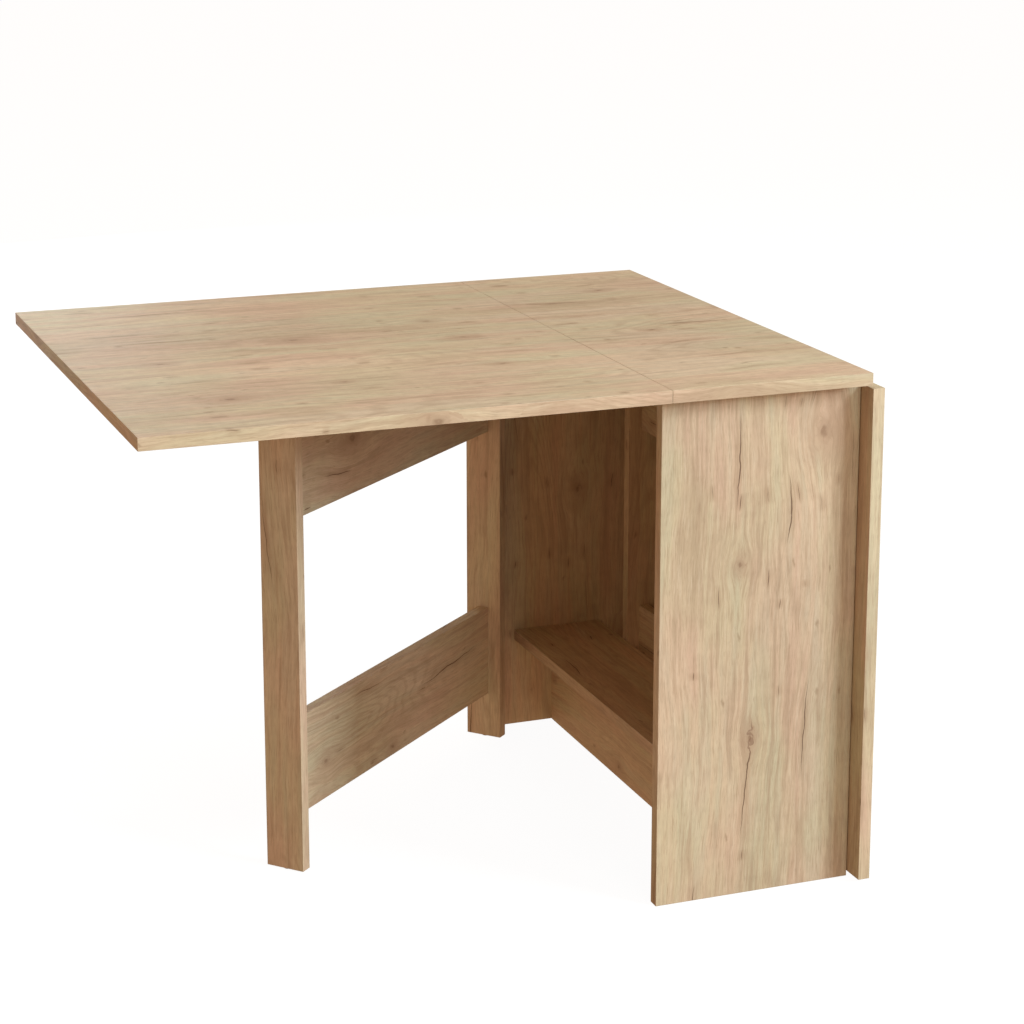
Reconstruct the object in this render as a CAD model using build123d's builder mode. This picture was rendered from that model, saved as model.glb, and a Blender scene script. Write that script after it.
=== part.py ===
from build123d import *
import math
import os

# Drop-leaf table with two gate legs. Millimetres, +Z up.
# Origin: on the floor, under the middle of the fixed centre top. +Y runs along the table from
# the near end panel to the far one. -X is the left side, whose leaf stands level on its opened
# gate. +X is the right side, whose leaf hangs down over its folded gate.
# The table is the same when it is turned half a turn about Z, so each leaf, each gate and each
# end panel is shaped once, and turned for its twin.

# ------------------------------------------------------------ sizes that can be set alone
table_height = 760.0        # floor to the upper face of the top
table_length = 850.0        # length of the centre top and of both leaves, along Y
centre_width = 304.0        # fixed centre top and end panels, across X
board = 18.0                # thickness of every board
edge_ease = 0.3             # small bevel along every edge of a board

leaf_gap = 0.5              # between the centre top and a level leaf
leaf_floor_gap = 7.0        # under a hanging leaf
end_panel_inset = 35.0      # from the end of the top to the outer face of an end panel
hang_gap = 0.9              # between the edge of an end panel and a hanging leaf
shelf_height = 167.0        # floor to the upper face of the shelf
shelf_side_gap = 13.5       # between the shelf and a folded gate

upright_width = 62.0        # wide face of a gate upright
rail_height = 150.0         # both rails of a gate
lower_rail_lift = 77.0      # floor to the lower rail
upper_rail_drop = 65.0      # underside of the leaf to the upper rail
gate_end_gap = 102.0        # between a folded free upright and the other end panel
leaf_rest_gap = 0.4         # between a gate upright and the leaf over it
left_gate_open = 48.3       # degrees that the left gate stands open
right_gate_tuck = 12.28     # sideways, from square to the free edge of the folded right gate

glide_radius = 7.5          # plastic glide nailed under each gate upright
glide_height = 1.6
glide_round = 0.8
nail_radius = 1.0
nail_length = 12.0

knuckle_radius = 2.2        # steel butt hinges
hinge_pin_radius = 1.25
hinge_plate = 1.5           # plate thickness
hinge_length = 60.0
hinge_knuckles = 5
knuckle_gap = 0.2           # along the pin, between knuckles
swing_gap = 0.4             # between a knuckle and the edge of the plate facing it
face_gap = 0.3              # between a knuckle and the boards
plate_reach = 25.0          # from a hinge's pin to the outer edge of a plate
leaf_hinge_clear = 13.0     # between the outer leaf hinge and a folded free upright
hinge_screw_inset = 12.0    # from the end of a plate to its screw

screw_radius = 1.5          # countersunk wood screws
screw_head_radius = 2.75
screw_length = 14.0

dowel_radius = 4.0          # glued wooden dowels
dowel_length = 36.0
dowel_in_face = 11.0        # part of a dowel in the board that is drilled in its face
shelf_dowel_inset = 31.0    # from the side of the shelf
plinth_dowel_inset = 40.0   # from the lower and upper edges of the plinth board
seam_dowel_inset = 119.0    # from the ends of the seam between shelf and plinth board
top_dowel_inset = 40.0      # from the side of an end panel
rail_dowel_inset = 35.0     # from the lower and upper edges of a rail

bracket_thickness = 1.5     # steel angle brackets under the centre top
bracket_width = 16.0
bracket_leg = 28.0
bracket_spread = 40.0       # from the middle of the table to a bracket
bracket_screw_inset = 10.0  # from the end of a bracket's leg

# ------------------------------------------------------------ clearances
fit_gap = 0.05              # all round a screw, nail, dowel or hinge pin
hole_end_gap = 1.0          # beyond the end of a screw, nail or dowel

# ------------------------------------------------------------ places that follow from them
underside = table_height - board
pin_drop = knuckle_radius + face_gap
leaf_pin_x = centre_width / 2 + hang_gap - pin_drop
leaf_pin_z = underside - pin_drop
leaf_inner_x = centre_width / 2 + leaf_gap
leaf_width = leaf_pin_z - (leaf_inner_x - leaf_pin_x) - leaf_floor_gap
leaf_axis = Axis((-leaf_pin_x, 0, leaf_pin_z), (0, 1, 0))

half_panel = centre_width / 2
panel_outer_y = table_length / 2 - end_panel_inset
panel_inner_y = panel_outer_y - board
panel_middle_y = panel_outer_y - board / 2
bay_length = 2 * panel_inner_y
shelf_width = 2 * (half_panel - upright_width - shelf_side_gap)
shelf_underside = shelf_height - board

gate_gap = 2 * pin_drop     # between a folded pivot upright and its end panel
gate_length = bay_length - gate_gap - gate_end_gap
gate_pin_x = half_panel - pin_drop
gate_pin_y = panel_inner_y - pin_drop
gate_axis = Axis((-gate_pin_x, gate_pin_y, 0), (0, 0, 1))
pivot_face_y = panel_inner_y - gate_gap
free_face_y = pivot_face_y - gate_length
tuck_angle = math.degrees(math.asin(right_gate_tuck / (gate_pin_y - free_face_y)))
upright_x = -half_panel + upright_width / 2
upright_height = underside - leaf_rest_gap - glide_height
rail_length = gate_length - 2 * board
upper_rail_lift = underside - upper_rail_drop - rail_height
rail_lifts = (lower_rail_lift, upper_rail_lift)

plate_near = knuckle_radius + swing_gap
knuckle_pitch = hinge_length / hinge_knuckles
knuckle_length = knuckle_pitch - knuckle_gap
screw_spread = hinge_length / 2 - hinge_screw_inset
screw_head_height = screw_head_radius - screw_radius
dowel_in_end = dowel_length - dowel_in_face

PIECES = os.path.join("parts", "{}.step")
os.makedirs("parts", exist_ok=True)


def finish(piece, name):
    """Label one separate piece and write its STEP file."""
    piece.label = name
    export_step(piece, PIECES.format(name))


def face_spot(x, y, z, out):
    """A spot on a board's face, with its +Z pointing out of the board."""
    return Plane(origin=(x, y, z), z_dir=out)


def from_other_side(spots):
    """The same spots seen from the board that is joined there."""
    return [Plane(origin=s.origin, z_dir=-s.z_dir) for s in spots]


def half_turned(spots):
    """The same spots after half a turn of the table about Z."""
    return [Plane(origin=s.origin.rotate(Axis.Z, 180), z_dir=s.z_dir.rotate(Axis.Z, 180))
            for s in spots]


def drill(spots, radius, depth):
    """Blind round holes into the board from these spots on its face."""
    with Locations(*spots):
        Hole(radius=radius, depth=depth)


def drill_for_dowels(spots, embedded):
    drill(spots, dowel_radius + fit_gap, embedded + hole_end_gap)


def drill_for_screws(spots, plate):
    drill(spots, screw_radius + fit_gap, screw_length - plate + hole_end_gap)


def hinge_screw_spots(hinges, side):
    """Screw spots under the plates on one side of these hinges."""
    across = side * (plate_near + plate_reach) / 2
    return [
        Plane(origin=h.from_local_coords(Vector(along, across, pin_drop)), z_dir=-h.z_dir)
        for h in hinges for along in (-screw_spread, screw_spread)
    ]


# ------------------------------------------------------------ where the pieces are fixed
# Dowel spots lie on the face-drilled board, with +Z pointing into the end-drilled one.
dowel_z_plinth = (plinth_dowel_inset, shelf_underside - plinth_dowel_inset)
shelf_dowel_x = shelf_width / 2 - shelf_dowel_inset
top_dowel_x = half_panel - top_dowel_inset
seam_dowel_y = bay_length / 2 - seam_dowel_inset

far_shelf_dowels = [
    face_spot(x, panel_inner_y, shelf_height - board / 2, (0, -1, 0))
    for x in (-shelf_dowel_x, shelf_dowel_x)
]
far_plinth_dowels = [face_spot(0, panel_inner_y, z, (0, -1, 0)) for z in dowel_z_plinth]
far_top_dowels = [
    face_spot(x, panel_middle_y, underside, (0, 0, -1)) for x in (-top_dowel_x, top_dowel_x)
]
seam_dowels = [
    face_spot(0, y, shelf_underside, (0, 0, -1)) for y in (-seam_dowel_y, 0, seam_dowel_y)
]
rail_dowel_z = [
    lift + h for lift in rail_lifts for h in (rail_dowel_inset, rail_height - rail_dowel_inset)
]
pivot_dowels = [face_spot(upright_x, pivot_face_y - board, z, (0, -1, 0)) for z in rail_dowel_z]
free_dowels = [face_spot(upright_x, free_face_y + board, z, (0, 1, 0)) for z in rail_dowel_z]

# Brackets sit in the corners between the end panels and the centre top.
bracket_screw_reach = bracket_leg - bracket_screw_inset
bracket_x = (-bracket_spread, bracket_spread)
far_bracket_top_screws = [
    face_spot(x, panel_inner_y - bracket_screw_reach, underside, (0, 0, -1)) for x in bracket_x
]
far_bracket_side_screws = [
    face_spot(x, panel_inner_y, underside - bracket_screw_reach, (0, -1, 0)) for x in bracket_x
]

# A hinge has its X along the pin and +Z towards the board that a plate is on. On a leaf hinge the
# plates lie level, the fixed one to -Y and the moving one to +Y. On a gate hinge they are folded
# face to face, between the end panel and the upright, so each has a frame of its own.
leaf_hinge_y = -(free_face_y + board) - leaf_hinge_clear - hinge_length / 2
leaf_hinges = [
    Plane(origin=(-leaf_pin_x, y, leaf_pin_z), x_dir=(0, 1, 0), z_dir=(0, 0, 1))
    for y in (-leaf_hinge_y, 0, leaf_hinge_y)
]
gate_hinges_to_panel, gate_hinges_to_upright = [
    [
        Plane(origin=(-gate_pin_x, gate_pin_y, lift + rail_height / 2), x_dir=(0, 0, 1),
              z_dir=(0, towards, 0))
        for lift in rail_lifts
    ]
    for towards in (1, -1)
]
left_leaf_fixed_spots = hinge_screw_spots(leaf_hinges, -1)
leaf_moving_spots = hinge_screw_spots(leaf_hinges, 1)
far_gate_fixed_spots = hinge_screw_spots(gate_hinges_to_panel, 1)
gate_moving_spots = hinge_screw_spots(gate_hinges_to_upright, -1)

# ------------------------------------------------------------ hardware that repeats
# A countersunk wood screw, with the middle of its flat head at the origin, pointing down.
with BuildPart() as screw:
    with BuildSketch(Plane.XZ):
        with BuildLine():
            Polyline(
                (0, 0), (screw_head_radius, 0), (screw_radius, -screw_head_height),
                (screw_radius, -screw_length + screw_radius), (0, -screw_length), close=True,
            )
        make_face()
    revolve(axis=Axis.Z)

# A glued dowel, its origin where the two boards meet, its longer end up.
with BuildPart() as dowel:
    with BuildSketch(Plane.XY.offset(-dowel_in_face)):
        Circle(dowel_radius)
    extrude(amount=dowel_length)
    chamfer(dowel.edges(), edge_ease)

# An angle bracket with its outer corner at the origin, one leg along +Y and one leg down.
with BuildPart() as bracket:
    with BuildSketch(Plane.YZ.offset(-bracket_width / 2)):
        with BuildLine():
            Polyline(
                (0, 0), (bracket_leg, 0), (bracket_leg, -bracket_thickness),
                (bracket_thickness, -bracket_thickness), (bracket_thickness, -bracket_leg),
                (0, -bracket_leg), close=True,
            )
        make_face()
    extrude(amount=bracket_width)
    with Locations(
        face_spot(0, bracket_screw_reach, -bracket_thickness, (0, 0, -1)),
        face_spot(0, bracket_thickness, -bracket_screw_reach, (0, 1, 0)),
    ):
        CounterSinkHole(
            radius=screw_radius + fit_gap, counter_sink_radius=screw_head_radius + fit_gap,
            depth=bracket_thickness, counter_sink_angle=90,
        )


def hinge_half(side, first_knuckle):
    """One plate of a butt hinge with every second knuckle, round a pin along X."""
    plate_z = pin_drop - hinge_plate
    with BuildPart() as half:
        with BuildSketch(Plane.XY.offset(plate_z)):
            with Locations((0, side * (plate_near + plate_reach) / 2)):
                Rectangle(hinge_length, plate_reach - plate_near)
        extrude(amount=hinge_plate)
        for i in range(first_knuckle, hinge_knuckles, 2):
            start = i * knuckle_pitch - hinge_length / 2 + knuckle_gap / 2
            with BuildSketch(Plane.XY.offset(plate_z)):
                with Locations((start + knuckle_length / 2, side * plate_near / 2)):
                    Rectangle(knuckle_length, plate_near)
            extrude(amount=knuckle_radius - plate_z)
            with BuildSketch(Plane.YZ.offset(start)):
                Circle(knuckle_radius)
            extrude(amount=knuckle_length)
        with BuildSketch(Plane.YZ.offset(-hinge_length / 2)):
            Circle(hinge_pin_radius + fit_gap)
        extrude(amount=hinge_length, mode=Mode.SUBTRACT)
        with Locations(*[
            face_spot(along, side * (plate_near + plate_reach) / 2, plate_z, (0, 0, -1))
            for along in (-screw_spread, screw_spread)
        ]):
            CounterSinkHole(
                radius=screw_radius + fit_gap, counter_sink_radius=screw_head_radius + fit_gap,
                depth=hinge_plate, counter_sink_angle=90,
            )
    return half.part


# The pin of one hinge, along X.
with BuildPart() as hinge_pin:
    with BuildSketch(Plane.YZ.offset(-hinge_length / 2)):
        Circle(hinge_pin_radius)
    extrude(amount=hinge_length)

# ------------------------------------------------------------ fixed top and base
with BuildPart() as centre_top:
    with BuildSketch(Plane.XY.offset(underside)):
        Rectangle(centre_width, table_length)
    extrude(amount=board)
    chamfer(centre_top.edges(), edge_ease)
    drill_for_dowels(far_top_dowels + half_turned(far_top_dowels), dowel_in_face)
    drill_for_screws(left_leaf_fixed_spots + half_turned(left_leaf_fixed_spots), hinge_plate)
    drill_for_screws(
        far_bracket_top_screws + half_turned(far_bracket_top_screws), bracket_thickness)
finish(centre_top.part, "centre_top")

# The far end panel carries the left gate on its left edge; the near one is its twin.
with BuildPart() as far_end_panel:
    with BuildSketch():
        with Locations((0, panel_middle_y)):
            Rectangle(2 * half_panel, board)
    extrude(amount=underside)
    chamfer(far_end_panel.edges(), edge_ease)
    drill_for_dowels(far_shelf_dowels + far_plinth_dowels, dowel_in_face)
    drill_for_dowels(from_other_side(far_top_dowels), dowel_in_end)
    drill_for_screws(far_gate_fixed_spots, hinge_plate)
    drill_for_screws(far_bracket_side_screws, bracket_thickness)
finish(far_end_panel.part, "far_end_panel")
finish(far_end_panel.part.rotate(Axis.Z, 180), "near_end_panel")

with BuildPart() as bottom_shelf:
    with BuildSketch(Plane.XY.offset(shelf_underside)):
        Rectangle(shelf_width, bay_length)
    extrude(amount=board)
    chamfer(bottom_shelf.edges(), edge_ease)
    drill_for_dowels(from_other_side(far_shelf_dowels + half_turned(far_shelf_dowels)),
                     dowel_in_end)
    drill_for_dowels(seam_dowels, dowel_in_face)
finish(bottom_shelf.part, "bottom_shelf")

with BuildPart() as plinth_board:
    with BuildSketch():
        Rectangle(board, bay_length)
    extrude(amount=shelf_underside)
    chamfer(plinth_board.edges(), edge_ease)
    drill_for_dowels(from_other_side(far_plinth_dowels + half_turned(far_plinth_dowels)),
                     dowel_in_end)
    drill_for_dowels(from_other_side(seam_dowels), dowel_in_end)
finish(plinth_board.part, "plinth_board")

base_dowels = {
    "shelf_dowels": far_shelf_dowels + half_turned(far_shelf_dowels),
    "plinth_dowels": far_plinth_dowels + half_turned(far_plinth_dowels),
    "seam_dowels": seam_dowels,
    "top_dowels": far_top_dowels + half_turned(far_top_dowels),
}
for name, spots in base_dowels.items():
    with BuildPart() as dowel_set:
        with Locations(*spots):
            add(dowel.part)
    finish(dowel_set.part, name)

with BuildPart() as top_brackets:
    with Locations(*[
        Location((x, end * panel_inner_y, underside), (0, 0, 90 * (1 + end)))
        for end in (-1, 1) for x in bracket_x
    ]):
        add(bracket.part)
finish(top_brackets.part, "top_brackets")

far_bracket_screws = far_bracket_top_screws + far_bracket_side_screws
with BuildPart() as bracket_screws:
    with Locations(*[
        s.offset(bracket_thickness) for s in far_bracket_screws + half_turned(far_bracket_screws)
    ]):
        add(screw.part)
finish(bracket_screws.part, "bracket_screws")

# ------------------------------------------------------------ drop leaves
# The leaf is shaped level, on the left side.
with BuildPart() as leaf_board:
    with BuildSketch(Plane.XY.offset(underside)):
        with Locations((-leaf_inner_x - leaf_width / 2, 0)):
            Rectangle(leaf_width, table_length)
    extrude(amount=board)
    chamfer(leaf_board.edges(), edge_ease)
    drill_for_screws(leaf_moving_spots, hinge_plate)

# ------------------------------------------------------------ gates
# The gate is shaped folded, on the left side, with its pivot at the far end panel.
with BuildPart() as pivot_upright:
    with BuildSketch(Plane.XY.offset(glide_height)):
        with Locations((upright_x, pivot_face_y - board / 2)):
            Rectangle(upright_width, board)
    extrude(amount=upright_height)
    chamfer(pivot_upright.edges(), edge_ease)
    drill_for_dowels(pivot_dowels, dowel_in_face)
    drill_for_screws(gate_moving_spots, hinge_plate)
    drill([face_spot(upright_x, pivot_face_y - board / 2, glide_height, (0, 0, -1))],
          nail_radius + fit_gap, nail_length + hole_end_gap)

with BuildPart() as free_upright:
    with BuildSketch(Plane.XY.offset(glide_height)):
        with Locations((upright_x, free_face_y + board / 2)):
            Rectangle(upright_width, board)
    extrude(amount=upright_height)
    chamfer(free_upright.edges(), edge_ease)
    drill_for_dowels(free_dowels, dowel_in_face)
    drill([face_spot(upright_x, free_face_y + board / 2, glide_height, (0, 0, -1))],
          nail_radius + fit_gap, nail_length + hole_end_gap)


def gate_rail(lift):
    """A rail between the two uprights, this far above the floor."""
    ends = [s for s in pivot_dowels + free_dowels if lift < s.origin.Z < lift + rail_height]
    with BuildPart() as rail:
        with BuildSketch(Plane.XY.offset(lift)):
            with Locations((upright_x, (pivot_face_y + free_face_y) / 2)):
                Rectangle(board, rail_length)
        extrude(amount=rail_height)
        chamfer(rail.edges(), edge_ease)
        drill_for_dowels(from_other_side(ends), dowel_in_end)
    return rail.part


with BuildPart() as gate_dowels:
    with Locations(*pivot_dowels, *free_dowels):
        add(dowel.part)

with BuildPart() as gate_glides:
    for y in (pivot_face_y - board / 2, free_face_y + board / 2):
        with BuildSketch():
            with Locations((upright_x, y)):
                Circle(glide_radius)
        extrude(amount=glide_height)
    fillet(gate_glides.edges().group_by(Axis.Z)[0], glide_round)
    for y in (pivot_face_y - board / 2, free_face_y + board / 2):
        with BuildSketch(Plane.XY.offset(glide_height)):
            with Locations((upright_x, y)):
                Circle(nail_radius)
        extrude(amount=nail_length)

# ------------------------------------------------------------ hinges, as sets of one kind


def hinge_set(hinges, half):
    with BuildPart() as pieces:
        with Locations(*hinges):
            add(half)
    return pieces.part


def screw_set(spots):
    with BuildPart() as pieces:
        with Locations(*[s.offset(hinge_plate) for s in spots]):
            add(screw.part)
    return pieces.part


fixed_hardware = {
    "leaf_fixed_plates": hinge_set(leaf_hinges, hinge_half(-1, 0)),
    "leaf_hinge_pins": hinge_set(leaf_hinges, hinge_pin.part),
    "leaf_fixed_screws": screw_set(left_leaf_fixed_spots),
    "gate_fixed_plates": hinge_set(gate_hinges_to_panel, hinge_half(1, 0)),
    "gate_hinge_pins": hinge_set(gate_hinges_to_panel, hinge_pin.part),
    "gate_fixed_screws": screw_set(far_gate_fixed_spots),
}
leaf_pieces = {
    "leaf_board": leaf_board.part,
    "leaf_moving_plates": hinge_set(leaf_hinges, hinge_half(1, 1)),
    "leaf_moving_screws": screw_set(leaf_moving_spots),
}
gate_pieces = {
    "gate_pivot_upright": pivot_upright.part,
    "gate_free_upright": free_upright.part,
    "gate_lower_rail": gate_rail(lower_rail_lift),
    "gate_upper_rail": gate_rail(upper_rail_lift),
    "gate_dowels": gate_dowels.part,
    "gate_glides": gate_glides.part,
    "gate_moving_plates": hinge_set(gate_hinges_to_upright, hinge_half(-1, 1)),
    "gate_moving_screws": screw_set(gate_moving_spots),
}

# ------------------------------------------------------------ left and right sides, at rest
for name, piece in fixed_hardware.items():
    finish(piece, f"left_{name}")
    finish(piece.rotate(Axis.Z, 180), f"right_{name}")

for name, piece in leaf_pieces.items():
    finish(piece, f"left_{name}")
    finish(piece.rotate(leaf_axis, -90).rotate(Axis.Z, 180), f"right_{name}")

for name, piece in gate_pieces.items():
    finish(piece.rotate(gate_axis, -left_gate_open), f"left_{name}")
    finish(piece.rotate(gate_axis, tuck_angle).rotate(Axis.Z, 180), f"right_{name}")
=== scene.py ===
import math

import bmesh
import bpy
import numpy as np
from mathutils import Matrix, Vector


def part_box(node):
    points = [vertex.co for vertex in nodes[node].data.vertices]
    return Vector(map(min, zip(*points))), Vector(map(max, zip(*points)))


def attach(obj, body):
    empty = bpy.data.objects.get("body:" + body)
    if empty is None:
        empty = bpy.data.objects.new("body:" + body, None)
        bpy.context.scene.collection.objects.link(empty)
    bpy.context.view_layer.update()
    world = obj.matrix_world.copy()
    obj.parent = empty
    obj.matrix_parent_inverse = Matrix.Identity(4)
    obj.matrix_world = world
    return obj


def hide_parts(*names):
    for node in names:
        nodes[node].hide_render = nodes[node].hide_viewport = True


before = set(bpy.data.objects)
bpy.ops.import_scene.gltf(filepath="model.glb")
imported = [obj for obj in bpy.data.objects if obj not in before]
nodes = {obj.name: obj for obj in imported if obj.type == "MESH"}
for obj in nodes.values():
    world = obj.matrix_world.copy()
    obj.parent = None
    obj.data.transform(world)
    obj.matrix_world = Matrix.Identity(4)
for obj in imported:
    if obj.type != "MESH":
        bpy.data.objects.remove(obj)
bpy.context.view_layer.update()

# ---------------------------------------------------------------- centre top
# The fixed narrow top: 18 mm particle board faced with a matt printed oak decor and banded on its
# four edges with the same decor. It is dowelled and bracketed to the two end panels.


def put(tree, kind, sockets=None, **settings):
    """Add a node, with its settings, values and links."""
    n = tree.nodes.new(kind)
    for key, value in settings.items():
        setattr(n, key, value)
    for key, value in (sockets or {}).items():
        if isinstance(value, bpy.types.NodeSocket):
            tree.links.new(value, n.inputs[key])
        else:
            n.inputs[key].default_value = value
    return n


def calc(tree, operation, *values, clamp=False):
    """One sum, as a Math node's output."""
    return put(tree, "ShaderNodeMath", dict(enumerate(values)),
               operation=operation, use_clamp=clamp).outputs[0]


def vec(tree, operation, *values, out=0, **named):
    """One sum on vectors; a scale goes in as Scale=."""
    return put(tree, "ShaderNodeVectorMath", {**dict(enumerate(values)), **named},
               operation=operation).outputs[out]


def blend(tree, share, a, b, mode="MIX"):
    """One colour over another."""
    n = put(tree, "ShaderNodeMix", data_type="RGBA", blend_type=mode, clamp_factor=True)
    for socket, value in ((n.inputs[0], share), (n.inputs[6], a), (n.inputs[7], b)):
        if isinstance(value, bpy.types.NodeSocket):
            tree.links.new(value, socket)
        else:
            socket.default_value = value
    return n.outputs[2]


def slope(tree, value, low, high, to_low=0.0, to_high=1.0):
    """A smooth step of a value from one level to another."""
    return put(tree, "ShaderNodeMapRange", {
        "Value": value, "From Min": low, "From Max": high, "To Min": to_low, "To Max": to_high,
    }, interpolation_type="SMOOTHSTEP").outputs[0]


def grain_noise(tree, place, along, across, detail=2.0, rough=0.5, warp=0.0):
    """Noise stretched along the grain: so many marks a metre along it and across it."""
    spread = vec(tree, "MULTIPLY", place, (along, across, 1.0))
    return put(tree, "ShaderNodeTexNoise", {
        "Vector": spread, "Scale": 1.0, "Detail": detail, "Roughness": rough, "Distortion": warp,
    }, noise_dimensions="2D").outputs[0]


def scattered(tree, place, along, across):
    """Random spots, so many a metre: the way from the nearest one, in metres, and its lot."""
    spread = vec(tree, "MULTIPLY", place, (along, across, 0.0))
    cells = put(tree, "ShaderNodeTexVoronoi", {"Vector": spread, "Scale": 1.0},
                voronoi_dimensions="2D")
    away = vec(tree, "SUBTRACT", spread, cells.outputs["Position"])
    away = vec(tree, "MULTIPLY", away, (1 / along, 1 / across, 0.0))
    lot = put(tree, "ShaderNodeSeparateColor", {0: cells.outputs["Color"]})
    return away, lot.outputs


def oak_decor():
    """The printed oak: grain along X on the faces, and along the band on the edges."""
    tree = bpy.data.node_groups.new("printed oak", "ShaderNodeTree")
    face = tree.interface
    for name, kind in (("Place", "NodeSocketVector"), ("Facing", "NodeSocketVector"),
                       ("Half size", "NodeSocketVector"), ("Cut from", "NodeSocketVector")):
        face.new_socket(name, in_out="INPUT", socket_type=kind)
    for name, kind in (("Colour", "NodeSocketColor"), ("Roughness", "NodeSocketFloat"),
                       ("Height", "NodeSocketFloat")):
        face.new_socket(name, in_out="OUTPUT", socket_type=kind)
    given = put(tree, "NodeGroupInput").outputs
    place, facing, half, cut = (given[i] for i in range(4))

    # Inks of the print, and the tints of its pinker and greener patches.
    dark_ring = (0.45, 0.32, 0.21, 1)
    dark_fibre = (0.43, 0.30, 0.195, 1)
    pale_fibre = (0.75, 0.62, 0.45, 1)
    hair_brown = (0.40, 0.27, 0.17, 1)
    streak_brown = (0.42, 0.29, 0.19, 1)
    pore_brown = (0.27, 0.17, 0.10, 1)
    crack_stain = (0.40, 0.262, 0.165, 1)
    putty = (0.150, 0.090, 0.055, 1)
    knot_stain = (0.45, 0.30, 0.20, 1)
    knot_eye = (0.22, 0.125, 0.072, 1)
    glue_brown = (0.30, 0.20, 0.13, 1)
    worn_pale = (0.80, 0.68, 0.51, 1)
    pinker, greener = (1.045, 1.005, 1.015, 1), (0.99, 1.045, 1.00, 1)
    steep = 0.72                 # a side faces along an axis when its way out is this much so
    other_face, side_strip, end_strip = 0.71, 3.3, 5.1    # metres over the sheet from a face
    knot_push = 0.8              # share of the way that a knot pushes the grain off
    banding, glue_half = 0.00095, 0.00022                 # from the edge to the glue line

    # Which side of the board: its two faces, its long edges or its ends.
    x, y, z = put(tree, "ShaderNodeSeparateXYZ", {0: place}).outputs
    straight = vec(tree, "ABSOLUTE", facing)
    nx, ny, nz = put(tree, "ShaderNodeSeparateXYZ", {0: straight}).outputs
    up = put(tree, "ShaderNodeSeparateXYZ", {0: facing}).outputs[2]
    below = calc(tree, "LESS_THAN", up, 0.0)
    on_side = calc(tree, "GREATER_THAN", ny, steep)
    on_end = calc(tree, "GREATER_THAN", nx, steep)
    flat = put(tree, "ShaderNodeCombineXYZ", {
        0: x, 1: calc(tree, "MULTIPLY_ADD", below, other_face, y)}).outputs[0]
    side = put(tree, "ShaderNodeCombineXYZ", {
        0: x, 1: calc(tree, "ADD", z, side_strip)}).outputs[0]
    end = put(tree, "ShaderNodeCombineXYZ", {
        0: y, 1: calc(tree, "ADD", z, end_strip)}).outputs[0]
    spot = vec(tree, "ADD", flat, vec(tree, "SCALE", vec(tree, "SUBTRACT", side, flat),
                                      Scale=on_side))
    spot = vec(tree, "ADD", spot, vec(tree, "SCALE", vec(tree, "SUBTRACT", end, spot),
                                      Scale=on_end))
    spot = vec(tree, "ADD", spot, cut)

    # Knots push the grain aside.
    crumple = calc(tree, "MULTIPLY_ADD", grain_noise(tree, spot, 55.0, 80.0, 2.0), 0.010, -0.005)
    torn = vec(tree, "ADD", spot, put(tree, "ShaderNodeCombineXYZ", {0: crumple, 1: crumple})
               .outputs[0])
    away, lot = scattered(tree, torn, 4.0, 6.5)
    knotty = slope(tree, lot[0], 0.30, 0.75)
    reach = calc(tree, "MULTIPLY_ADD", lot[1], 0.0065, 0.0040)
    oval = vec(tree, "LENGTH", vec(tree, "MULTIPLY", away, (0.60, 1.0, 0.0)), out=1)
    ring = calc(tree, "DIVIDE", oval, reach)
    near_knot = calc(tree, "EXPONENT", calc(tree, "MULTIPLY", calc(tree, "MULTIPLY", ring, ring),
                                            -0.06))
    near_knot = calc(tree, "MULTIPLY", near_knot, knotty)
    away_y = put(tree, "ShaderNodeSeparateXYZ", {0: away}).outputs[1]
    sway = calc(tree, "MULTIPLY_ADD", grain_noise(tree, spot, 1.6, 3.0, 1.0), 0.05, -0.025)
    ripple = calc(tree, "MULTIPLY_ADD", grain_noise(tree, spot, 14.0, 16.0, 2.0), 0.0054, -0.0027)
    bent = calc(tree, "ADD", sway, ripple)
    bent = calc(tree, "SUBTRACT", bent,
                calc(tree, "MULTIPLY", calc(tree, "MULTIPLY", away_y, near_knot), knot_push))
    grain = vec(tree, "ADD", spot, put(tree, "ShaderNodeCombineXYZ", {1: bent}).outputs[0])

    # Broad bands of pink-tan, cream and grey-green, then growth rings, fibres and pores.
    bands = grain_noise(tree, grain, 1.7, 26.0, 3.0, 0.58)
    tones = put(tree, "ShaderNodeValToRGB", {0: bands})
    stops = tones.color_ramp.elements
    stops[0].position, stops[0].color = 0.25, (0.52, 0.375, 0.255, 1)
    stops[1].position, stops[1].color = 0.77, (0.665, 0.535, 0.375, 1)
    for at, tone in ((0.40, (0.60, 0.44, 0.305, 1)), (0.50, (0.625, 0.485, 0.33, 1)),
                     (0.60, (0.58, 0.475, 0.33, 1))):
        stops.new(at).color = tone
    patch = slope(tree, grain_noise(tree, spot, 4.0, 9.0, 2.0), 0.36, 0.64)
    patch = blend(tree, patch, pinker, greener)
    colour = blend(tree, 1.0, tones.outputs[0], patch, "MULTIPLY")
    hills = grain_noise(tree, grain, 1.4, 7.0, 1.0)
    rings = calc(tree, "SINE", calc(tree, "MULTIPLY_ADD", hills, 150.0,
                                    calc(tree, "MULTIPLY", bands, 9.0)))
    late = slope(tree, rings, 0.1, 1.0)
    patchy = slope(tree, grain_noise(tree, spot, 3.0, 8.0, 1.0), 0.44, 0.68)
    colour = blend(tree, calc(tree, "MULTIPLY", calc(tree, "MULTIPLY", late, patchy), 0.40),
                   colour, dark_ring)
    fibre = grain_noise(tree, grain, 13.0, 240.0, 3.0, 0.62)
    colour = blend(tree, slope(tree, fibre, 0.50, 0.76, 0.0, 0.48), colour, dark_fibre)
    colour = blend(tree, slope(tree, fibre, 0.47, 0.24, 0.0, 0.36), colour, pale_fibre)
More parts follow.
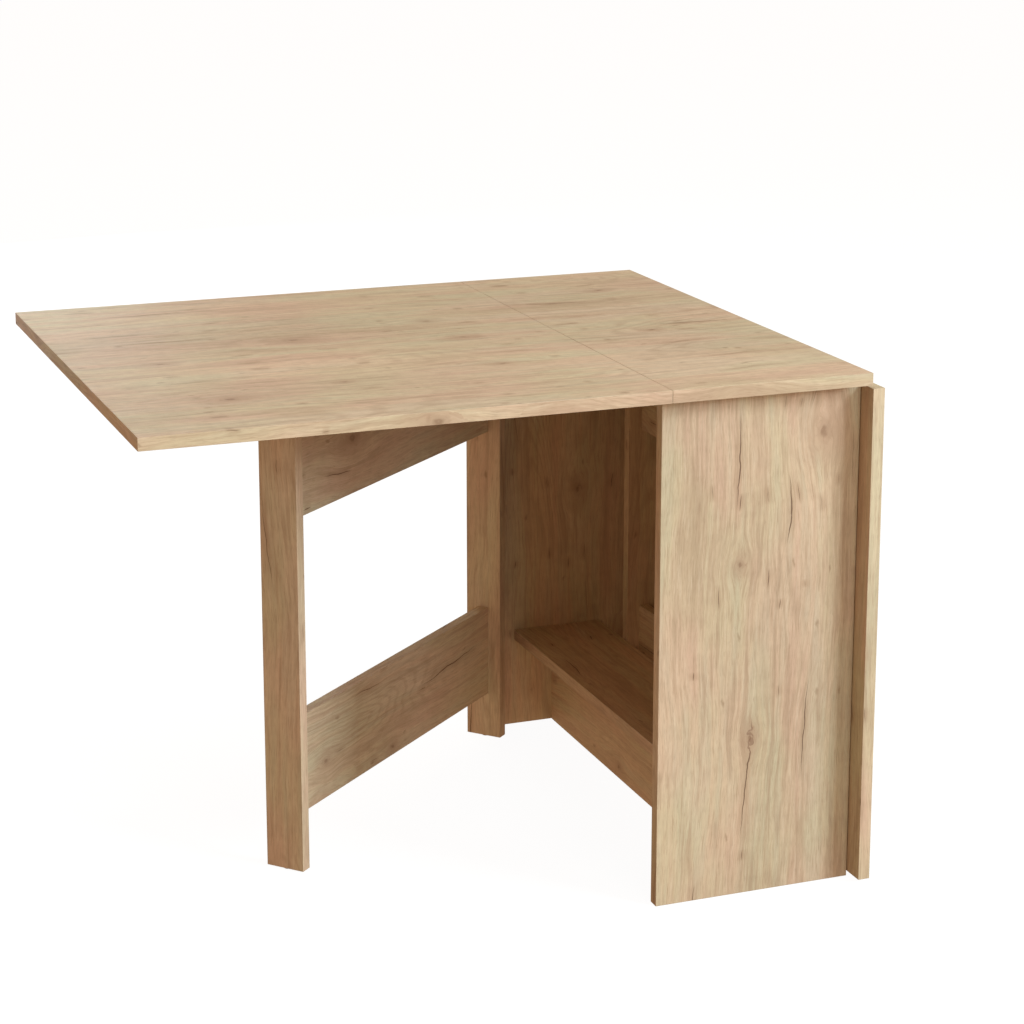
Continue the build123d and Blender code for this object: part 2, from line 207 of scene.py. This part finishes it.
    hairs = grain_noise(tree, grain, 30.0, 900.0, 2.0, 0.6)
    colour = blend(tree, slope(tree, hairs, 0.50, 0.72, 0.0, 0.46), colour, hair_brown)
    streak = grain_noise(tree, grain, 4.0, 80.0, 2.0, 0.6)
    colour = blend(tree, slope(tree, streak, 0.56, 0.72, 0.0, 0.46), colour, streak_brown)
    pores = slope(tree, grain_noise(tree, grain, 70.0, 1500.0, 1.0), 0.63, 0.74)
    colour = blend(tree, calc(tree, "MULTIPLY", pores, 0.25), colour, pore_brown)

    # Cracks filled with dark putty, each with a faint stain round it: long ones and short ones.
    # Of each kind: spots a metre along and across, the share of them that are cracked, and the
    # least and the added half length and half width of a crack.
    wander = calc(tree, "MULTIPLY_ADD", grain_noise(tree, grain, 20.0, 26.0, 3.0), 0.007, -0.0035)
    crack = 0.0
    for along, across, share, short, longer, thin, wider in (
            (3.0, 9.0, 0.64, 0.018, 0.085, 0.00050, 0.0008),
            (7.5, 24.0, 0.32, 0.006, 0.014, 0.00035, 0.0005)):
        away_c, lot_c = scattered(tree, grain, along, across)
        cx, cy, _ = put(tree, "ShaderNodeSeparateXYZ", {0: away_c}).outputs
        tilt = calc(tree, "MULTIPLY", cx, calc(tree, "MULTIPLY_ADD", lot_c[2], 0.2, -0.1))
        cy = calc(tree, "ABSOLUTE", calc(tree, "ADD", calc(tree, "ADD", cy, wander), tilt))
        part = calc(tree, "DIVIDE", cx, calc(tree, "MULTIPLY_ADD", lot_c[1], longer, short))
        taper = calc(tree, "SUBTRACT", 1.0, calc(tree, "MULTIPLY", part, part), clamp=True)
        taper = calc(tree, "MULTIPLY", taper, calc(tree, "LESS_THAN", lot_c[0], share))
        wide = calc(tree, "MULTIPLY", taper, calc(tree, "MULTIPLY_ADD", lot_c[2], wider, thin))
        dark = slope(tree, calc(tree, "SUBTRACT", cy, wide), 0.0, -0.0004)
        stain = calc(tree, "MULTIPLY", slope(tree, cy, 0.012, 0.0), taper)
        colour = blend(tree, calc(tree, "MULTIPLY", stain, 0.42), colour, crack_stain)
        crack = calc(tree, "MAXIMUM", crack, dark)
    colour = blend(tree, calc(tree, "MULTIPLY", crack, 0.85), colour, putty)

    # Knots: a ragged brown eye in a stain that follows the grain; and small pin knots.
    eye = slope(tree, ring, 1.3, 0.2)
    halo = slope(tree, ring, 4.5, 0.6)
    swirl = calc(tree, "SINE", calc(tree, "MULTIPLY", ring, 7.0))
    eye = calc(tree, "MULTIPLY", eye, calc(tree, "MULTIPLY_ADD", swirl, 0.2, 0.42))
    colour = blend(tree, calc(tree, "MULTIPLY", calc(tree, "MULTIPLY", halo, knotty), 0.60),
                   colour, knot_stain)
    colour = blend(tree, calc(tree, "MULTIPLY", eye, knotty), colour, knot_eye)
    away_p, lot_p = scattered(tree, torn, 10.0, 15.0)
    dot = vec(tree, "LENGTH", vec(tree, "MULTIPLY", away_p, (0.38, 1.0, 0.0)), out=1)
    pin = calc(tree, "MULTIPLY", slope(tree, dot, 0.0032, 0.0006),
               calc(tree, "GREATER_THAN", lot_p[0], 0.72))
    colour = blend(tree, calc(tree, "MULTIPLY", pin, 0.5), colour, pore_brown)

    # Slow changes of tone over the sheet, and the glue line and worn corner of the banding.
    drift = grain_noise(tree, spot, 1.1, 2.6, 2.0)
    mottle = calc(tree, "MULTIPLY_ADD", grain_noise(tree, spot, 45.0, 60.0, 2.0), 0.14, -0.07)
    drift = calc(tree, "ADD", mottle, slope(tree, drift, 0.3, 0.7, 0.95, 1.10))
    colour = blend(tree, 1.0, colour, drift, "MULTIPLY")
    margin = vec(tree, "ADD", vec(tree, "SUBTRACT", half, vec(tree, "ABSOLUTE", place)), straight)
    mx, my, mz = put(tree, "ShaderNodeSeparateXYZ", {0: margin}).outputs
    margin = calc(tree, "MINIMUM", calc(tree, "MINIMUM", mx, my), mz)
    glue = calc(tree, "COMPARE", margin, banding, glue_half)
    glue = calc(tree, "MULTIPLY", glue, calc(tree, "GREATER_THAN", nz, steep))
    colour = blend(tree, calc(tree, "MULTIPLY", glue, 0.22), colour, glue_brown)
    worn = calc(tree, "MULTIPLY", slope(tree, margin, 0.0008, 0.0),
                slope(tree, grain_noise(tree, spot, 30.0, 30.0), 0.40, 0.65))
    colour = blend(tree, calc(tree, "MULTIPLY", worn, 0.35), colour, worn_pale)

    rough = calc(tree, "MULTIPLY_ADD", fibre, 0.16, 0.42)
    rough = calc(tree, "ADD", rough, calc(tree, "MULTIPLY", pores, 0.12))
    rough = calc(tree, "ADD", rough, calc(tree, "MULTIPLY", crack, 0.18))
    high = calc(tree, "MULTIPLY_ADD", pores, -0.5, calc(tree, "MULTIPLY", fibre, -0.35))
    high = calc(tree, "ADD", high, calc(tree, "MULTIPLY", crack, -1.6))
    high = calc(tree, "ADD", high, calc(tree, "MULTIPLY", glue, -0.4))
    put(tree, "NodeGroupOutput", {0: colour, 1: rough, 2: high})
    return tree


DECOR = oak_decor()
SHEEN = 0.32                    # of the matt melamine skin
EMBOSSING = 0.0004              # depth of the deepest pores in it


def oak_board(node, along, up, cut):
    """Face a board: its grain runs along one way, its faces look another, cut from the decor."""
    across = up.cross(along)
    turn = Matrix((along, across, up)).transposed()
    points = np.empty(len(nodes[node].data.vertices) * 3, np.float32)
    nodes[node].data.vertices.foreach_get("co", points)
    flat = points.reshape(-1, 3) @ np.array(turn)
    low, high = flat.min(0), flat.max(0)
    middle = turn @ Vector((low + high) / 2)
    material = bpy.data.materials.new(f"oak {node}")
    material.use_nodes = True
    tree = material.node_tree
    shader = tree.nodes["Principled BSDF"]
    where = put(tree, "ShaderNodeTexCoord").outputs
    spin = turn.to_euler()
    place = put(tree, "ShaderNodeMapping", {
        "Vector": where["Object"], "Location": middle, "Rotation": spin}, vector_type="TEXTURE")
    facing = put(tree, "ShaderNodeMapping", {
        "Vector": where["Normal"], "Rotation": spin}, vector_type="TEXTURE")
    decor = put(tree, "ShaderNodeGroup", node_tree=DECOR)
    tree.links.new(place.outputs[0], decor.inputs["Place"])
    tree.links.new(facing.outputs[0], decor.inputs["Facing"])
    decor.inputs["Half size"].default_value = tuple((high - low) / 2)
    decor.inputs["Cut from"].default_value = (*cut, 0.0)
    tree.links.new(decor.outputs["Colour"], shader.inputs["Base Color"])
    tree.links.new(decor.outputs["Roughness"], shader.inputs["Roughness"])
    shader.inputs["Specular IOR Level"].default_value = SHEEN
    bump = put(tree, "ShaderNodeBump", {
        "Height": decor.outputs["Height"], "Strength": 0.35, "Distance": EMBOSSING})
    tree.links.new(bump.outputs[0], shader.inputs["Normal"])
    nodes[node].data.materials.clear()
    nodes[node].data.materials.append(material)


EAST, NORTH, UP = Vector((1, 0, 0)), Vector((0, 1, 0)), Vector((0, 0, 1))
TOP_CUT = (1.46, 7.30)
oak_board("centre_top", EAST, UP, TOP_CUT)

# ---------------------------------------------------------------- end panels
# Two full-height boards of the same faced and banded board, with the grain standing upright.
# They carry the top, and stand straight on the floor.
oak_board("near_end_panel", -UP, -NORTH, (5.30, 3.90))
oak_board("far_end_panel", UP, -NORTH, (9.70, 5.80))

# ---------------------------------------------------------------- shelf and plinth board
# A narrow shelf near the floor and the board on edge under it tie the end panels together. Both
# are dowelled into them, and the shelf is dowelled down on the plinth board.
oak_board("bottom_shelf", NORTH, UP, (3.20, 9.10))
oak_board("plinth_board", NORTH, -EAST, (6.60, 1.20))

# ---------------------------------------------------------------- drop leaves
# Two loose leaves of the same board, grain across the table as on the centre top, each hung on
# three butt hinges. The left one lies level on its gate, and its decor carries on from the centre
# top's; the right one hangs.
LEAF_APART = 0.5177              # between the middles of a level leaf and the centre top
oak_board("left_leaf_board", EAST, UP, (TOP_CUT[0] - LEAF_APART, TOP_CUT[1]))
oak_board("right_leaf_board", -UP, EAST, (12.30, 6.10))

# ---------------------------------------------------------------- gates
# Two swinging frames, each of two uprights and two rails butted and dowelled between them.
# The uprights' grain stands and the rails' grain runs along them.


def face_gate(side, cuts):
    """Face the four boards of a gate, which may stand open at any angle."""
    ends = []
    for end in ("pivot", "free"):
        low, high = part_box(f"{side}_gate_{end}_upright")
        ends.append((low + high) / 2)
    along = ends[1] - ends[0]
    along.z = 0
    along.normalize()
    outward = along.cross(UP)
    oak_board(f"{side}_gate_pivot_upright", UP, along, cuts[0])
    oak_board(f"{side}_gate_free_upright", UP, along, cuts[1])
    oak_board(f"{side}_gate_lower_rail", along, outward, cuts[2])
    oak_board(f"{side}_gate_upper_rail", along, outward, cuts[3])


face_gate("left", ((2.40, 4.70), (7.90, 6.40), (3.70, 0.60), (8.30, 8.80)))
face_gate("right", ((1.10, 8.20), (5.90, 9.60), (0.50, 2.90), (9.10, 3.30)))

# ---------------------------------------------------------------- dowels
# Plain turned beech dowels, 8 by 36 mm, glued into both of the boards that they join. They show
# only where a joint is drawn apart.
beech = bpy.data.materials.new("turned beech")
beech.use_nodes = True
tree = beech.node_tree
spot = put(tree, "ShaderNodeTexCoord").outputs["Object"]
flecks = put(tree, "ShaderNodeTexNoise", {"Vector": spot, "Scale": 900.0, "Detail": 3.0})
figure = put(tree, "ShaderNodeTexNoise", {"Vector": spot, "Scale": 120.0, "Detail": 2.0})
tone = blend(tree, figure.outputs[0], (0.62, 0.42, 0.26, 1), (0.74, 0.55, 0.37, 1))
ray = slope(tree, flecks.outputs[0], 0.60, 0.72, 0.0, 0.5)
tone = blend(tree, ray, tone, (0.42, 0.25, 0.14, 1))
shader = tree.nodes["Principled BSDF"]
tree.links.new(tone, shader.inputs["Base Color"])
tree.links.new(calc(tree, "MULTIPLY_ADD", flecks.outputs[0], 0.2, 0.5), shader.inputs["Roughness"])
tree.links.new(put(tree, "ShaderNodeBump", {
    "Height": flecks.outputs[0], "Strength": 0.3, "Distance": 0.0002}).outputs[0],
    shader.inputs["Normal"])
for name in ("shelf_dowels", "plinth_dowels", "seam_dowels", "top_dowels",
             "left_gate_dowels", "right_gate_dowels"):
    nodes[name].data.materials.clear()
    nodes[name].data.materials.append(beech)

# ---------------------------------------------------------------- hinges and brackets
# Pressed and rolled steel, zinc-plated: three hinges under each leaf, two between each gate and
# its end panel, folded face to face, and four angle brackets under the centre top.
zinc = bpy.data.materials.new("zinc-plated steel")
zinc.use_nodes = True
tree = zinc.node_tree
spot = put(tree, "ShaderNodeTexCoord").outputs["Object"]
cloud = put(tree, "ShaderNodeTexNoise", {"Vector": spot, "Scale": 140.0, "Detail": 4.0})
spangle = put(tree, "ShaderNodeTexVoronoi", {"Vector": spot, "Scale": 700.0})
rolled = put(tree, "ShaderNodeTexNoise", {
    "Vector": vec(tree, "MULTIPLY", spot, (400.0, 400.0, 2600.0)), "Scale": 1.0, "Detail": 2.0})
tone = blend(tree, cloud.outputs[0], (0.50, 0.50, 0.49, 1), (0.74, 0.74, 0.72, 1))
tone = blend(tree, 0.12, tone, spangle.outputs["Color"], "SOFT_LIGHT")
dull = slope(tree, cloud.outputs[0], 0.60, 0.80, 0.0, 0.35)
tone = blend(tree, dull, tone, (0.40, 0.37, 0.33, 1))
shader = tree.nodes["Principled BSDF"]
shader.inputs["Metallic"].default_value = 1.0
tree.links.new(tone, shader.inputs["Base Color"])
tree.links.new(calc(tree, "MULTIPLY_ADD", cloud.outputs[0], 0.35, 0.18),
               shader.inputs["Roughness"])
tree.links.new(put(tree, "ShaderNodeBump", {
    "Height": rolled.outputs[0], "Strength": 0.12, "Distance": 0.0001}).outputs[0],
    shader.inputs["Normal"])
for name, node in nodes.items():
    if name.endswith(("_plates", "_pins")) or name == "top_brackets":
        node.data.materials.clear()
        node.data.materials.append(zinc)

# ---------------------------------------------------------------- screws
# Countersunk cross-recessed wood screws, zinc-plated like the hinges and brackets that they hold:
# four to each hinge and two to each bracket. They are driven flush, at odd turns of the recess.


def screw_tree():
    """A geometry tree that puts one screw at each point, along the way that the point gives."""
    rings, sides = 53, 14              # few faces: there are 48 screws
    thread_slope, point_slope, blunt = 0.8, 0.5, 0.00008
    plain_share = 0.22                 # of the length, without thread
    tree = bpy.data.node_groups.new("countersunk screws", "GeometryNodeTree")
    face = tree.interface
    face.new_socket("Spots", in_out="INPUT", socket_type="NodeSocketGeometry")
    for name, size in (("Length", 0.014), ("Head radius", 0.00275), ("Shank radius", 0.0015),
                       ("Thread pitch", 0.0011), ("Recess width", 0.00075),
                       ("Recess reach", 0.0036), ("Recess depth", 0.0012)):
        face.new_socket(name, in_out="INPUT", socket_type="NodeSocketFloat").default_value = size
    face.new_socket("Seed", in_out="INPUT", socket_type="NodeSocketInt").default_value = 7
    face.new_socket("Finish", in_out="INPUT", socket_type="NodeSocketMaterial")
    face.new_socket("Screws", in_out="OUTPUT", socket_type="NodeSocketGeometry")
    given = put(tree, "NodeGroupInput").outputs

    # Head, shank, thread and point are one profile along the screw, turned to a solid.
    foot = put(tree, "ShaderNodeCombineXYZ", {2: calc(tree, "MULTIPLY", given["Length"], -1.0)})
    line = put(tree, "GeometryNodeCurvePrimitiveLine", {"End": foot.outputs[0]})
    steps = put(tree, "GeometryNodeResampleCurve", {"Curve": line.outputs[0], "Count": rings})
    depth = put(tree, "GeometryNodeSplineParameter").outputs["Length"]
    head = calc(tree, "SUBTRACT", given["Head radius"], depth)
    notch = calc(tree, "PINGPONG", depth, calc(tree, "MULTIPLY", given["Thread pitch"], 0.5))
    thread = calc(tree, "MULTIPLY", notch, thread_slope)
    thread = calc(tree, "SUBTRACT", given["Shank radius"], thread)
    smooth = calc(tree, "LESS_THAN", depth, calc(
        tree, "MULTIPLY", given["Length"], plain_share))
    thread = calc(tree, "ADD", thread, calc(tree, "MULTIPLY", calc(
        tree, "SUBTRACT", given["Shank radius"], thread), smooth))
    left = calc(tree, "SUBTRACT", given["Length"], depth)
    tip = calc(tree, "MULTIPLY_ADD", left, point_slope, blunt)
    outline = calc(tree, "MINIMUM", calc(tree, "MAXIMUM", head, thread), tip)
    round_ = put(tree, "GeometryNodeCurvePrimitiveCircle", {"Resolution": sides, "Radius": 1.0})
    solid = put(tree, "GeometryNodeCurveToMesh", {
        "Curve": steps.outputs[0], "Profile Curve": round_.outputs[0], "Scale": outline,
        "Fill Caps": True})

    # The cross recess is cut by two slim blocks, half sunk in the head.
    size = [put(tree, "ShaderNodeCombineXYZ", {
        i: given["Recess reach"], 1 - i: given["Recess width"],
        2: calc(tree, "MULTIPLY", given["Recess depth"], 2.0)}) for i in (0, 1)]
    arms = [put(tree, "GeometryNodeMeshCube", {"Size": n.outputs[0]}) for n in size]
    cut = put(tree, "GeometryNodeMeshBoolean", {"Mesh 1": solid.outputs[0]},
              operation="DIFFERENCE", solver="EXACT")
    for arm in arms:
        tree.links.new(arm.outputs[0], cut.inputs["Mesh 2"])

    # One at each point, stood along its way out and turned by chance.
    spots = put(tree, "GeometryNodeMeshToPoints", {"Mesh": given["Spots"]})
    way = put(tree, "GeometryNodeInputNamedAttribute", {"Name": "way out"},
              data_type="FLOAT_VECTOR")
    stand = put(tree, "FunctionNodeAlignRotationToVector", {"Vector": way.outputs[0]}, axis="Z")
    odd = put(tree, "FunctionNodeRandomValue", {
        "Max": math.tau, "Seed": given["Seed"]}, data_type="FLOAT")
    twist = put(tree, "FunctionNodeAxisAngleToRotation", {
        "Axis": (0.0, 0.0, 1.0), "Angle": odd.outputs["Value"]})
    turned = put(tree, "FunctionNodeRotateRotation", {
        0: stand.outputs[0], 1: twist.outputs[0]}, rotation_space="LOCAL")
    placed = put(tree, "GeometryNodeInstanceOnPoints", {
        "Points": spots.outputs[0], "Instance": cut.outputs[0], "Rotation": turned.outputs[0]})
    real = put(tree, "GeometryNodeRealizeInstances", {"Geometry": placed.outputs[0]})
    done = put(tree, "GeometryNodeSetMaterial", {
        "Geometry": real.outputs[0], "Material": given["Finish"]})
    put(tree, "NodeGroupOutput", {0: done.outputs[0]})
    return tree


def screw_spots(node):
    """The middle of each screw's head, and the way out of the board there."""
    # A screw is one connected island of the node's mesh. Its longest way is its axis, and its
    # wide half holds the head.
    mesh = bmesh.new()
    mesh.from_mesh(nodes[node].data)
    bmesh.ops.remove_doubles(mesh, verts=mesh.verts, dist=1e-6)
    left, found = set(mesh.verts), []
    while left:
        reached, edge = set(), [min(left, key=lambda v: v.index)]
        while edge:
            v = edge.pop()
            if v not in reached:
                reached.add(v)
                edge.extend(e.other_vert(v) for e in v.link_edges)
        left -= reached
        points = np.array([v.co for v in sorted(reached, key=lambda v: v.index)])
        centre = points.mean(0)
        way = np.linalg.svd(points - centre, full_matrices=False)[2][0]
        along = (points - centre) @ way
        wide = np.linalg.norm(points - centre - np.outer(along, way), axis=1)
        if wide[along < 0].max() > wide[along > 0].max():
            way, along = -way, -along
        found.append((centre + way * along.max(), way))
    mesh.free()
    return found


SCREWS = screw_tree()


def drive_screws(body, *replaced):
    """One piece with all the screws of a body, in place of their plain ones."""
    spots = [spot for node in replaced for spot in screw_spots(node)]
    marks = bpy.data.meshes.new("screw spots")
    marks.from_pydata([tuple(place) for place, _ in spots], [], [])
    way = marks.attributes.new("way out", "FLOAT_VECTOR", "POINT")
    way.data.foreach_set("vector", np.array([w for _, w in spots], np.float32).ravel())
    start = bpy.data.objects.new("screw spots", marks)
    bpy.context.scene.collection.objects.link(start)
    made = start.modifiers.new("screws", "NODES")
    made.node_group = SCREWS
    finish = next(s for s in SCREWS.interface.items_tree if s.name == "Finish")
    made[finish.identifier] = zinc
    reader = bpy.context.evaluated_depsgraph_get()
    mesh = bpy.data.meshes.new_from_object(start.evaluated_get(reader))
    start.modifiers.remove(made)
    bpy.data.objects.remove(start)
    closed = bmesh.new()
    closed.from_mesh(mesh)
    bmesh.ops.remove_doubles(closed, verts=closed.verts, dist=1e-7)
    bmesh.ops.recalc_face_normals(closed, faces=closed.faces)
    closed.to_mesh(mesh)
    closed.free()
    piece = bpy.data.objects.new(f"{body}_screws", mesh)
    bpy.context.scene.collection.objects.link(piece)
    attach(piece, body)
    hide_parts(*replaced)


drive_screws("base", "bracket_screws", "left_leaf_fixed_screws", "right_leaf_fixed_screws",
             "left_gate_fixed_screws", "right_gate_fixed_screws")
for side in ("left", "right"):
    drive_screws(f"{side}_leaf", f"{side}_leaf_moving_screws")
    drive_screws(f"{side}_gate", f"{side}_gate_moving_screws")

# ---------------------------------------------------------------- glides
# A brown moulded plastic glide under each gate upright, so that the gate slides over the floor.
# Each is held by a nail, driven up into the foot of the upright.
glide = bpy.data.materials.new("moulded glide")
glide.use_nodes = True
tree = glide.node_tree
spot = put(tree, "ShaderNodeTexCoord").outputs["Object"]
scuff = put(tree, "ShaderNodeTexNoise", {"Vector": spot, "Scale": 260.0, "Detail": 4.0})
shader = tree.nodes["Principled BSDF"]
tree.links.new(blend(tree, scuff.outputs[0], (0.20, 0.12, 0.07, 1), (0.34, 0.23, 0.15, 1)),
               shader.inputs["Base Color"])
tree.links.new(calc(tree, "MULTIPLY_ADD", scuff.outputs[0], 0.3, 0.35), shader.inputs["Roughness"])
tree.links.new(put(tree, "ShaderNodeBump", {
    "Height": scuff.outputs[0], "Strength": 0.2, "Distance": 0.0002}).outputs[0],
    shader.inputs["Normal"])
for name in ("left_gate_glides", "right_gate_glides"):
    nodes[name].data.materials.clear()
    nodes[name].data.materials.append(glide)

# ---------------------------------------------------------------- floor, light and camera
# A plain pale floor, a big soft light from the right with weaker ones in front, over the top and
# behind, and a dim warm sky, so that the space between the end panels stays dark and warm.
FLOOR_WIDE, FLOOR_DROP = 60.0, 0.0004     # the feet stand just clear of it
bpy.ops.mesh.primitive_plane_add(size=FLOOR_WIDE, location=(0, 0, -FLOOR_DROP))
floor = bpy.context.object
floor.name = "floor"
pale = bpy.data.materials.new("pale floor")
pale.use_nodes = True
shader = pale.node_tree.nodes["Principled BSDF"]
shader.inputs["Base Color"].default_value = (0.12, 0.12, 0.12, 1)
shader.inputs["Roughness"].default_value = 0.9
shader.inputs["Specular IOR Level"].default_value = 0.0
shader.inputs["Emission Color"].default_value = (1, 1, 1, 1)
shader.inputs["Emission Strength"].default_value = 0.95
floor.data.materials.append(pale)
floor.visible_diffuse = False
floor.visible_glossy = False

world = bpy.data.worlds.new("studio")
bpy.context.scene.world = world
world.use_nodes = True
tree = world.node_tree
sky = tree.nodes["Background"]
sky.inputs["Color"].default_value = (1.0, 0.66, 0.41, 1)
sky.inputs["Strength"].default_value = 0.42
screen = put(tree, "ShaderNodeBackground", {"Color": (1, 1, 1, 1), "Strength": 1.0})
seen = put(tree, "ShaderNodeMixShader", {
    0: put(tree, "ShaderNodeLightPath").outputs["Is Camera Ray"],
    1: sky.outputs[0], 2: screen.outputs[0]})
tree.links.new(seen.outputs[0], tree.nodes["World Output"].inputs["Surface"])


def soft_light(name, spot, aim, size, power, tint):
    """A square area light of so many metres and watts at a spot, turned to its aim."""
    lamp = bpy.data.lights.new(name, "AREA")
    lamp.shape, lamp.size, lamp.energy, lamp.color = "SQUARE", size, power, tint
    light = bpy.data.objects.new(name, lamp)
    light.location = spot
    light.rotation_euler = (Vector(aim) - Vector(spot)).to_track_quat("-Z", "Y").to_euler()
    bpy.context.scene.collection.objects.link(light)
    return light


MIDDLE = (-0.1, 0, 0.4)
key = soft_light("key", (3.5, -3.8, 2.9), MIDDLE, 2.2, 300.0, (0.79, 0.95, 1.06))
key.visible_glossy = False        # no glare of it on the top from behind
soft_light("front", (0.2, -5.4, 2.0), MIDDLE, 2.2, 76.0, (0.86, 0.93, 0.96))
soft_light("overhead", (-0.3, 0.2, 4.6), (-0.2, 0, 0.6), 3.2, 60.0, (0.78, 0.93, 1.0))
soft_light("rear", (-0.6, 5.4, 0.6), (0, 0, 0.4), 2.2, 110.0, (0.80, 0.93, 1.0))

lens = bpy.data.cameras.new("camera")
lens.sensor_width = 36.0
lens.lens = 90.2
lens.shift_y = -0.14
lens.clip_start, lens.clip_end = 0.05, 200.0
camera = bpy.data.objects.new("camera", lens)
camera.location = (-1.5477, -3.4874, 1.5394)
CAMERA_DIP, CAMERA_TURN = 12.574, -20.811   # degrees below level, and about the vertical
camera.rotation_euler = (math.radians(90 - CAMERA_DIP), 0, math.radians(CAMERA_TURN))
bpy.context.scene.collection.objects.link(camera)
bpy.context.scene.camera = camera

bpy.context.scene.view_settings.view_transform = "Standard"
